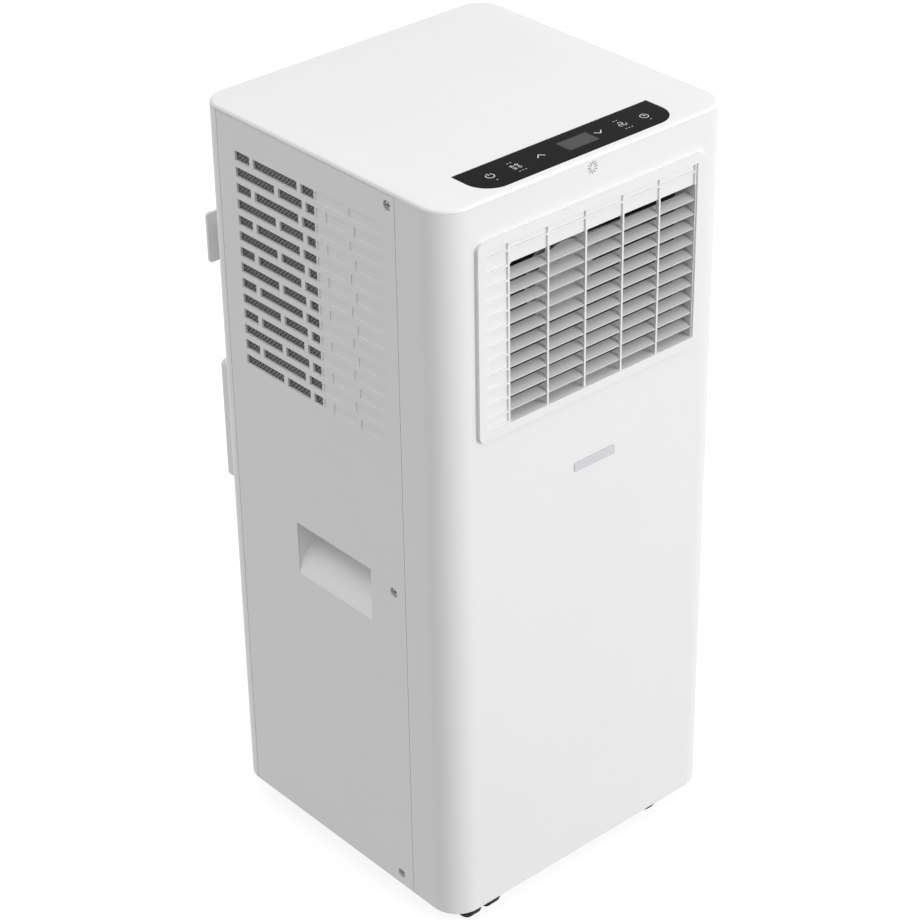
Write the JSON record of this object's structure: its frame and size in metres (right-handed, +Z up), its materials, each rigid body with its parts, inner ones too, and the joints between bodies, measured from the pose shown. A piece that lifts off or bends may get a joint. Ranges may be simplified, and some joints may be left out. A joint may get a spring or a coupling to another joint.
{
  "type": "portable air conditioner",
  "caption": "Free-standing room air conditioner on swivel casters, with a louvred front outlet, side grilles, top touch panel and rear exhaust socket.",
  "frame": {"origin": "on the floor under the middle of the whole box", "axes": "+X to the right seen from the front, -Y out of the front, +Z up"},
  "size_m": [0.314, 0.3314, 0.711],
  "materials": {
    "casing_white": "fine satin moulded plastic",
    "grille_white": "satin moulded plastic",
    "handle_white": "satin moulded plastic",
    "black_glass": "glossy black",
    "circuit_board": "green solder resist",
    "badge_metal": "satin metal",
    "dark_plastic": "textured",
    "filter_mesh": "fine woven mesh",
    "coil_fins": "pressed fins",
    "compressor_black": "black paint",
    "black_rubber": "matt",
    "copper_pipe": "drawn tube",
    "duct_plastic": "moulded",
    "fan_plastic": "moulded",
    "steel": "zinc plated",
    "motor_steel": "galvanised sheet",
    "caster_plastic": "moulded nylon",
    "caster_wheel": "moulded nylon"
  },
  "bodies": {
    "cabinet": {"front_shell": "casing_white", "left_side_panel": "casing_white", "right_side_panel": "casing_white", "rear_panel": "casing_white", "top_cover": "casing_white", "base_pan": "dark_plastic", "outlet_grille": "grille_white", "control_glass": "black_glass", "control_board": "circuit_board", "front_badge": "badge_metal", "left_handle_cup": "handle_white", "right_handle_cup": "handle_white", "condenser_coil": "coil_fins", "evaporator_coil": "coil_fins", "compressor": "compressor_black", "compressor_grommets": "black_rubber", "refrigerant_pipes": "copper_pipe", "upper_volute": "duct_plastic", "lower_volute": "duct_plastic", "upper_motor": "motor_steel", "lower_motor": "motor_steel", "drip_tray": "duct_plastic", "electrical_box": "motor_steel", "exhaust_socket": "casing_white", "cord_hooks": "casing_white", "cord_gland": "black_rubber", "case_screws": "steel"},
    "louvre_01": {"louvre_01": "grille_white"},
    "louvre_02": {"louvre_02": "grille_white"},
    "louvre_03": {"louvre_03": "grille_white"},
    "louvre_04": {"louvre_04": "grille_white"},
    "louvre_05": {"louvre_05": "grille_white"},
    "louvre_06": {"louvre_06": "grille_white"},
    "louvre_07": {"louvre_07": "grille_white"},
    "louvre_08": {"louvre_08": "grille_white"},
    "louvre_09": {"louvre_09": "grille_white"},
    "louvre_10": {"louvre_10": "grille_white"},
    "louvre_link": {"louvre_link": "grille_white"},
    "upper_fan": {"upper_wheel": "fan_plastic", "upper_shaft": "steel"},
    "lower_fan": {"lower_wheel": "fan_plastic", "lower_shaft": "steel"},
    "upper_filter": {"upper_filter_cover": "grille_white", "upper_filter_mesh": "filter_mesh"},
    "upper_drain_plug": {"upper_drain_plug": "black_rubber"},
    "lower_filter": {"lower_filter_cover": "grille_white", "lower_filter_mesh": "filter_mesh"},
    "lower_drain_plug": {"lower_drain_plug": "black_rubber"},
    "caster_fl": {"caster_body_fl": "caster_plastic"},
    "wheels_fl": {"caster_axle_fl": "steel", "caster_wheels_fl": "caster_wheel"},
    "caster_fr": {"caster_body_fr": "caster_plastic"},
    "wheels_fr": {"caster_axle_fr": "steel", "caster_wheels_fr": "caster_wheel"},
    "caster_rl": {"caster_body_rl": "caster_plastic"},
    "wheels_rl": {"caster_axle_rl": "steel", "caster_wheels_rl": "caster_wheel"},
    "caster_rr": {"caster_body_rr": "caster_plastic"},
    "wheels_rr": {"caster_axle_rr": "steel", "caster_wheels_rr": "caster_wheel"}
  },
  "joints": [
    {"name": "louvre_01_tilt", "type": "hinge", "parent": "cabinet", "child": "louvre_01", "pos_m": [0.0125, -0.15875, 0.5195], "axis": [1, 0, 0], "range_deg": [-25, 25]},
    {"name": "louvre_02_tilt", "type": "hinge", "parent": "cabinet", "child": "louvre_02", "pos_m": [0.0125, -0.15875, 0.5326], "axis": [1, 0, 0], "range_deg": [-25, 25]},
    {"name": "louvre_03_tilt", "type": "hinge", "parent": "cabinet", "child": "louvre_03", "pos_m": [0.0125, -0.15875, 0.5457], "axis": [1, 0, 0], "range_deg": [-25, 25]},
    {"name": "louvre_04_tilt", "type": "hinge", "parent": "cabinet", "child": "louvre_04", "pos_m": [0.0125, -0.15875, 0.5588], "axis": [1, 0, 0], "range_deg": [-25, 25]},
    {"name": "louvre_05_tilt", "type": "hinge", "parent": "cabinet", "child": "louvre_05", "pos_m": [0.0125, -0.15875, 0.5719], "axis": [1, 0, 0], "range_deg": [-25, 25]},
    {"name": "louvre_06_tilt", "type": "hinge", "parent": "cabinet", "child": "louvre_06", "pos_m": [0.0125, -0.15875, 0.585], "axis": [1, 0, 0], "range_deg": [-25, 25]},
    {"name": "louvre_07_tilt", "type": "hinge", "parent": "cabinet", "child": "louvre_07", "pos_m": [0.0125, -0.15875, 0.5981], "axis": [1, 0, 0], "range_deg": [-25, 25]},
    {"name": "louvre_08_tilt", "type": "hinge", "parent": "cabinet", "child": "louvre_08", "pos_m": [0.0125, -0.15875, 0.6112], "axis": [1, 0, 0], "range_deg": [-25, 25]},
    {"name": "louvre_09_tilt", "type": "hinge", "parent": "cabinet", "child": "louvre_09", "pos_m": [0.0125, -0.15875, 0.6243], "axis": [1, 0, 0], "range_deg": [-25, 25]},
    {"name": "louvre_10_tilt", "type": "hinge", "parent": "cabinet", "child": "louvre_10", "pos_m": [0.0125, -0.15875, 0.6374], "axis": [1, 0, 0], "range_deg": [-25, 25]},
    {"name": "louvre_link_pivot", "type": "hinge", "parent": "louvre_01", "child": "louvre_link", "pos_m": [-0.09665, -0.14975, 0.5195], "axis": [1, 0, 0], "range_deg": [-25, 25]},
    {"name": "upper_fan_spin", "type": "hinge", "parent": "cabinet", "child": "upper_fan", "pos_m": [0, -0.068, 0.594], "axis": [0, 1, 0], "continuous": true},
    {"name": "lower_fan_spin", "type": "hinge", "parent": "cabinet", "child": "lower_fan", "pos_m": [-0.032, 0.05, 0.198], "axis": [0, 1, 0], "continuous": true},
    {"name": "upper_filter_pull", "type": "slide", "parent": "cabinet", "child": "upper_filter", "axis": [0, 1, 0], "range_m": [0, 0.04]},
    {"name": "upper_drain_plug_pull", "type": "slide", "parent": "cabinet", "child": "upper_drain_plug", "axis": [0, 1, 0], "range_m": [0, 0.02]},
    {"name": "lower_filter_pull", "type": "slide", "parent": "cabinet", "child": "lower_filter", "axis": [0, 1, 0], "range_m": [0, 0.04]},
    {"name": "lower_drain_plug_pull", "type": "slide", "parent": "cabinet", "child": "lower_drain_plug", "axis": [0, 1, 0], "range_m": [0, 0.02]},
    {"name": "caster_fl_swivel", "type": "hinge", "parent": "cabinet", "child": "caster_fl", "pos_m": [-0.113, -0.12775, 0.04], "axis": [0, 0, 1], "continuous": true},
    {"name": "wheels_fl_roll", "type": "hinge", "parent": "caster_fl", "child": "wheels_fl", "pos_m": [-0.113, -0.13975, 0.015], "axis": [1, 0, 0], "continuous": true},
    {"name": "caster_fr_swivel", "type": "hinge", "parent": "cabinet", "child": "caster_fr", "pos_m": [0.113, -0.12775, 0.04], "axis": [0, 0, 1], "continuous": true},
    {"name": "wheels_fr_roll", "type": "hinge", "parent": "caster_fr", "child": "wheels_fr", "pos_m": [0.101, -0.12775, 0.015], "axis": [0, -1, 0], "continuous": true},
    {"name": "caster_rl_swivel", "type": "hinge", "parent": "cabinet", "child": "caster_rl", "pos_m": [-0.113, 0.10725, 0.04], "axis": [0, 0, 1], "continuous": true},
    {"name": "wheels_rl_roll", "type": "hinge", "parent": "caster_rl", "child": "wheels_rl", "pos_m": [-0.125, 0.10725, 0.015], "axis": [0, -1, 0], "continuous": true},
    {"name": "caster_rr_swivel", "type": "hinge", "parent": "cabinet", "child": "caster_rr", "pos_m": [0.113, 0.10725, 0.04], "axis": [0, 0, 1], "continuous": true},
    {"name": "wheels_rr_roll", "type": "hinge", "parent": "caster_rr", "child": "wheels_rr", "pos_m": [0.12219, 0.11496, 0.015], "axis": [-0.6428, 0.766, 0], "continuous": true}
  ],
  "couplings": [
    {"joint": "louvre_02_tilt", "follows": "louvre_01_tilt", "ratio": 1},
    {"joint": "louvre_03_tilt", "follows": "louvre_01_tilt", "ratio": 1},
    {"joint": "louvre_04_tilt", "follows": "louvre_01_tilt", "ratio": 1},
    {"joint": "louvre_05_tilt", "follows": "louvre_01_tilt", "ratio": 1},
    {"joint": "louvre_06_tilt", "follows": "louvre_01_tilt", "ratio": 1},
    {"joint": "louvre_07_tilt", "follows": "louvre_01_tilt", "ratio": 1},
    {"joint": "louvre_08_tilt", "follows": "louvre_01_tilt", "ratio": 1},
    {"joint": "louvre_09_tilt", "follows": "louvre_01_tilt", "ratio": 1},
    {"joint": "louvre_10_tilt", "follows": "louvre_01_tilt", "ratio": 1},
    {"joint": "louvre_link_pivot", "follows": "louvre_01_tilt", "ratio": -1}
  ]
}
